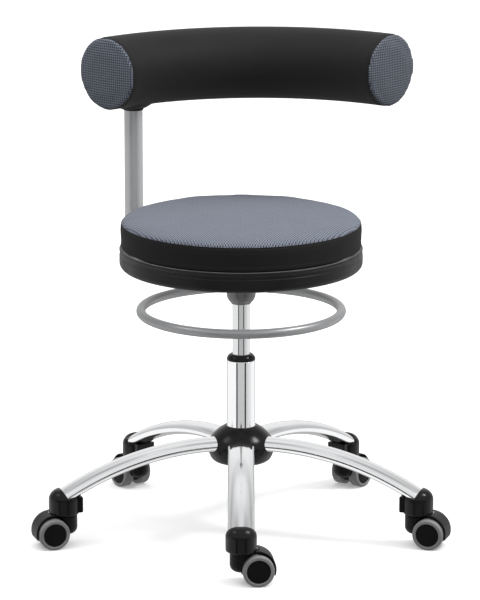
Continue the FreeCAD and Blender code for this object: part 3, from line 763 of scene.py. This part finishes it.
def roll_to_size(mesh):
    """Bring the roll back to its full radius and length, which smoothing has taken off, and its
    rims out again."""
    places = [roll_place(v.co) for v in mesh.vertices]
    main_part = [place for place in places if -ROLL_RIGHT * 0.8 < place[0] < ROLL_LEFT * 0.8]
    sizes = [math.hypot(out, up) for angle, out, up in main_part]
    grow = (ROLL_RADIUS - 0.3 * MM) * len(sizes) / sum(sizes)
    rim = [angle for angle, out, up in places if 0.75 < math.hypot(out, up) / ROLL_RADIUS < 0.88]
    swell = 1.2 * MM / ROLL_ARC
    left = (ROLL_LEFT + swell) / max(rim)
    right = (ROLL_RIGHT + swell) / -min(rim)
    for vertex, (angle, out, up) in zip(mesh.vertices, places):
        turn = angle * (left if angle > 0 else right)
        inward = min(ROLL_LEFT - turn, ROLL_RIGHT + turn) * ROLL_ARC
        size = math.hypot(out, up) * grow / ROLL_RADIUS
        edge = clamped(1 - inward / (8 * MM)) * max(0.0, (size - 0.78) / 0.22)
        turn += math.copysign(edge * 1.2 * MM / ROLL_ARC, turn)
        wider = grow * (1 + edge * 0.8 * MM / ROLL_RADIUS)
        vertex.co = roll_point(turn, ROLL_ARC + out * wider, up * wider)
    return mesh


def end_plane(angle, depth):
    """Point and outward normal of a plane across the roll, depth in from one end."""
    sign = 1 if angle > 0 else -1
    outward = Vector((-math.cos(angle), -math.sin(angle), 0)) * sign
    return roll_point(angle) - outward * depth, outward


def sleeved(point):
    """Draw the cover down into a short sleeve round the post."""
    offset = math.hypot(point.x - POST.x, point.y - POST.y)
    share = clamped((SLEEVE_REACH - offset) / (SLEEVE_REACH - POST_RADIUS - 2 * MM))
    if point.z < ROLL_Z:
        point.z -= SLEEVE_DROP * eased(share)
    return point


def build_bolster(cover_cloth, left_cloth_shaded, right_cloth_shaded, thread):
    """Cover with an end disc sewn in at each end, its seams, stitches and sleeve."""
    form = moved_points(roll_form(), sleeved)
    cover = form
    # each end disc's cloth is darkened as painted shade
    for name, angle, cloth in (("left", ROLL_LEFT, left_cloth_shaded), ("right", -ROLL_RIGHT, right_cloth_shaded)):
        point, outward = end_plane(angle, END_SEAM)
        end = half(form, "bolster_end_" + name, point, outward)
        disc = piece("bolster_end_" + name, end, "backrest", cloth)
        smooth(disc.data, 60)
        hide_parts("bolster_cushion")
        cover = half(cover, "bolster_cover", point, -outward)
        welt = tube_mesh("bolster_welt_" + name, cut_loop(form, point, outward, 120), WELT_RADIUS, True)
        piece("bolster_welt_" + name, smooth(welt, 180), "backrest", thread)
        row = point - outward * 5 * MM
        spots = loop_spots(cut_loop(form, row, outward, 76), row)
        stitches = stitches_mesh("bolster_stitches_" + name, spots, 3.8 * MM)
        piece("bolster_stitches_" + name, stitches, "backrest", thread)
    roll = piece("bolster_cover", cover, "backrest", cover_cloth)
    smooth(roll.data, 60)
    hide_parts("bolster_cushion")
    build_closing_seam(form, thread)
    build_sleeve_hem(thread)


def build_closing_seam(form, thread):
    """Seam that closes the cover along its lower back, with a row of stitches under it."""
    tree = BVHTree.FromPolygons([v.co for v in form.vertices], [p.vertices for p in form.polygons])
    low = math.radians(-58)
    short = 0.03  # radians that the line stops before each end
    count = 150
    lines = {}
    for name, turn in (("seam", low), ("stitches", low - math.radians(4))):
        out, up = ROLL_RADIUS * math.cos(turn), ROLL_RADIUS * math.sin(turn)
        line = []
        for k in range(count):
            angle = ROLL_LEFT - short + (2 * short - ROLL_LEFT - ROLL_RIGHT) * k / (count - 1)
            line.append(tree.find_nearest(roll_point(angle, ROLL_ARC + out, up))[0])
        lines[name] = line
    seam = tube_mesh("bolster_closing_seam", lines["seam"], 0.8 * MM)
    piece("bolster_closing_seam", smooth(seam, 60), "backrest", thread)
    spots = []
    row = lines["stitches"]
    for before, spot, after in zip(row, row[1:], row[2:]):
        direction = (after - before).normalized()
        outward = tree.find_nearest(spot)[1]
        outward = (outward - direction * outward.dot(direction)).normalized()
        spots.append((spot, direction, outward))
    stitches = stitches_mesh("bolster_closing_stitches", spots, 2.6 * MM)
    piece("bolster_closing_stitches", stitches, "backrest", thread)


def build_sleeve_hem(thread):
    """Elastic hem of the cover's sleeve round the post."""
    bottom = ROLL_LOW.z - SLEEVE_DROP
    inner = POST_RADIUS + 0.3 * MM
    outer = POST_RADIUS + 1.7 * MM
    outline = [(inner, bottom + 5 * MM), (inner, bottom - 0.2 * MM), (inner + 0.5 * MM, bottom - 0.7 * MM)]
    outline += [(outer - 0.5 * MM, bottom - 0.7 * MM), (outer, bottom - 0.1 * MM), (outer, bottom + 5 * MM)]
    mesh = turned_mesh("bolster_sleeve_hem", outline, 64)
    mesh.transform(Matrix.Translation(POST))
    piece("bolster_sleeve_hem", smooth(mesh, 50), "backrest", thread)


# ---------------------------------------------------------------- finishes on the CAD nodes
def finish_nodes(paints):
    """Give every CAD node its material."""
    for name, obj in NODES.items():
        finish = paints[finish_name(name)]
        obj.data.materials.clear()
        obj.data.materials.append(finish)
        for slot in obj.material_slots:
            slot.material = finish


def hide_from_gloss(objects):
    """Keep the upper parts out of the mirror of the chrome base, as a studio's fill cards do."""
    for obj in objects:
        obj.visible_glossy = False


def finish_name(node):
    """Which finish a CAD node has."""
    plain = node.rstrip("0123456789").rstrip("_")
    groups = {
        "chrome": ("base_arm", "stand_tube"),
        "dark_chrome": ("gas_cylinder",),
        "silver": ("backrest_tube",),
        # the release ring's silver is the post's, darkened as painted shade
        "ring_silver_shaded": ("release_ring",),
        "steel": ("piston_rod", "rod_clip", "release_pin", "seat_screws", "ring_pivot_pin", "thrust_bearing",
                  "caster_stems", "caster_axle"),
        "painted": ("hub_core", "seat_plate", "swivel_hub", "ring_lever"),
        "socket_grey": ("taper_socket",),
        "gloss": ("hub_cover", "arm_sockets", "guide_bush"),
        "matt": ("caster_body", "swivel_washers"),
        "pan": ("seat_pan",),
        "wheel": ("wheel_left", "wheel_right"),
        "tread": ("tyre_left", "tyre_right"),
        "wood": ("bolster_core",),
        "band": ("seat_cushion", "bolster_cushion", "seat_board"),
    }
    for finish, names in groups.items():
        if plain in names:
            return finish
    raise ValueError(node)


# ---------------------------------------------------------------- stage, light, camera
def floor():
    """Pale studio floor that runs far past the view; a little self-lit, as on a light table.
    It neither mirrors in the chrome nor throws light up under the stool."""
    bm = bmesh.new()
    bmesh.ops.create_grid(bm, x_segments=4, y_segments=4, size=30)
    mesh = bpy.data.meshes.new("studio_floor")
    bm.to_mesh(mesh)
    bm.free()
    paint = Paint("studio_floor", (0.88, 0.88, 0.88), 0.8)
    paint.set("Specular IOR Level", 0.0)
    paint.set("Emission Color", (1, 1, 1, 1))
    paint.set("Emission Strength", FLOOR_GLOW)
    mesh.materials.append(paint.material)
    obj = placed("studio_floor", mesh)
    obj.visible_glossy = False
    obj.visible_diffuse = False


def softbox(name, place, power):
    """Square area light aimed at the stool."""
    data = bpy.data.lights.new(name, "AREA")
    data.shape = "RECTANGLE"
    data.size = data.size_y = SOFTBOX_SIZE
    data.energy = power
    obj = placed(name, data)
    obj.location = place
    obj.rotation_euler = (SOFTBOX_AIM - Vector(place)).to_track_quat("-Z", "Y").to_euler()


def overhead_sun():
    """Very soft light from the ceiling, even over the whole floor."""
    data = bpy.data.lights.new("ceiling", "SUN")
    data.energy = CEILING_POWER
    data.angle = CEILING_SPREAD
    obj = placed("ceiling", data)
    obj.rotation_euler = (CEILING_TILT, 0, 0)
    obj.visible_glossy = False


def mirrored_studio(graph):
    """How bright the studio is in reflections: white, with two dark upright flags, grey zones at the
    front, right and back and a dark skirting below, and grey sides and two soft streaks above."""
    split = graph.add("ShaderNodeSeparateXYZ")
    graph.link(graph.add("ShaderNodeTexCoord").outputs["Generated"], split.inputs[0])
    x, y, z = split.outputs
    maths = graph.math
    bearing = maths("ARCTAN2", x, maths("MULTIPLY", y, -1.0))
    azimuth = maths("ABSOLUTE", bearing)
    elevation = maths("ARCSINE", z)

    def zone(value, shape):
        """1 within a zone, down to 0 across its blur."""
        centre, half_width, blur = (math.radians(part) for part in shape)
        distance = maths("ABSOLUTE", maths("SUBTRACT", value, centre))
        return maths("DIVIDE", maths("SUBTRACT", half_width + blur, distance), blur, True)

    low = maths("DIVIDE", maths("SUBTRACT", math.radians(LOW_TOP), elevation), math.radians(LOW_BLUR), True)
    front = zone(azimuth, FRONT)
    beyond_front = maths("SUBTRACT", zone(bearing, RIGHT), front, True)
    grey = maths("ADD", maths("MULTIPLY", front, FRONT_DARK), maths("MULTIPLY", beyond_front, RIGHT_DARK))
    grey = maths("ADD", grey, maths("MULTIPLY", zone(azimuth, BACK), BACK_DARK))
    sides = maths("MULTIPLY", zone(azimuth, HIGH_SIDES), HIGH_SIDES_DARK)
    high = maths("MULTIPLY", maths("SUBTRACT", 1.0, low), maths("ADD", HIGH_DARK, sides))
    streaks = maths("ADD", zone(elevation, STREAKS[0]), zone(elevation, STREAKS[1]))
    level = maths("SUBTRACT", WHITE_LEVEL, maths("MULTIPLY", grey, low))
    level = maths("SUBTRACT", level, high)
    level = maths("SUBTRACT", level, maths("MULTIPLY", streaks, STREAKS_DARK))
    flags = maths("MULTIPLY", maths("MULTIPLY", zone(azimuth, FLAGS), low), FLAGS_DARK)
    level = maths("MULTIPLY", level, maths("SUBTRACT", 1.0, flags))
    skirting = maths("MULTIPLY", zone(elevation, SKIRTING), zone(azimuth, SKIRTING_REACH))
    return maths("MULTIPLY", level, maths("SUBTRACT", 1.0, maths("MULTIPLY", skirting, SKIRTING_DARK)))


def world():
    """White studio, dimmer as a light than as a backdrop, and with its own look in reflections."""
    studio = bpy.data.worlds.new("studio")
    bpy.context.scene.world = studio
    studio.use_nodes = True
    studio.node_tree.nodes.clear()
    graph = Graph(studio.node_tree)
    path = graph.add("ShaderNodeLightPath")
    backdrop = graph.math("MULTIPLY", path.outputs["Is Camera Ray"], 1.0 - WORLD_LEVEL)
    mixed = graph.add("ShaderNodeMix")
    graph.link(path.outputs["Is Glossy Ray"], mixed.inputs["Factor"])
    graph.link(graph.math("ADD", WORLD_LEVEL, backdrop), mixed.inputs["A"])
    graph.link(mirrored_studio(graph), mixed.inputs["B"])
    background = graph.add("ShaderNodeBackground")
    background.inputs["Color"].default_value = (1, 1, 1, 1)
    graph.link(mixed.outputs["Result"], background.inputs["Strength"])
    graph.link(background.outputs[0], graph.add("ShaderNodeOutputWorld").inputs["Surface"])


def camera():
    """Long lens at standing height, a little to the front and looking slightly down."""
    data = bpy.data.cameras.new("camera")
    data.sensor_fit = "VERTICAL"
    data.sensor_height = SENSOR
    data.lens = FOCAL_IN_FRAMES * SENSOR
    data.clip_end = 100
    obj = placed("camera", data)
    obj.location = CAMERA_PLACE
    obj.rotation_euler = (math.radians(90 - CAMERA_PITCH), 0, 0)
    bpy.context.scene.camera = obj


def main():
    bpy.context.scene.view_settings.view_transform = "Standard"
    gloss = moulded_black("gloss_black_plastic", 0.24, 0.02 * MM, 0.2)
    matt = moulded_black("matt_black_plastic", 0.36, 0.05 * MM, 0.12)
    band_cloth = knit_cloth("black_band_knit", 0.0155, 0.8)
    cover_cloth = knit_cloth("black_cover_knit", 0.0155, 0.62)
    thread = knit_cloth("black_thread", 0.008, 0.7)
    finish_nodes({
        "chrome": chrome(),
        "dark_chrome": chrome("gas_spring_chrome", 0.82),
        "silver": silver_coat("post_silver_coat", 0.47),
        # The ring takes the post's silver coat, darkened from 0.47 to 0.33 as painted shade.
        "ring_silver_shaded": silver_coat("ring_coat_painted_shade", 0.33),
        "steel": turned_steel(),
        "painted": black_paint(),
        "socket_grey": silver_coat("socket_coat", 0.17),
        "gloss": gloss,
        "matt": matt,
        "pan": moulded_black("seat_pan_plastic", 0.36, 0.04 * MM, 0.14, 2.0),
        "wheel": moulded_black("wheel_disc_plastic", 0.5, 0.06 * MM, 0.08),
        "tread": tread_rubber(),
        "wood": plywood(),
        "band": band_cloth,
    })
    build_seat(mesh_cloth("seat_mesh_cloth", SEAT_PITCHES, 0, True, 0.92), band_cloth, thread)
    # The end discs are the seat's cloth with painted shade: tone 0.84 on the left and 0.68 on the right,
    # against 0.92 on the seat.
    left_cloth_shaded = mesh_cloth("left_end_mesh_cloth_painted_shade", DISC_PITCHES, -(math.pi + ROLL_LEFT), False, 0.84)
    right_cloth_shaded = mesh_cloth("right_end_mesh_cloth_painted_shade", DISC_PITCHES, ROLL_RIGHT, False, 0.68)
    build_bolster(cover_cloth, left_cloth_shaded, right_cloth_shaded, thread)
    hide_from_gloss(obj for name, obj in NODES.items() if name.startswith(HIDDEN_FROM_CHROME))
    hide_from_gloss(obj for obj in bpy.data.objects if obj.name.startswith(("seat_", "bolster_")))
    floor()
    overhead_sun()
    for name, place, power in SOFTBOXES:
        softbox(name, place, power)
    world()
    camera()


main()
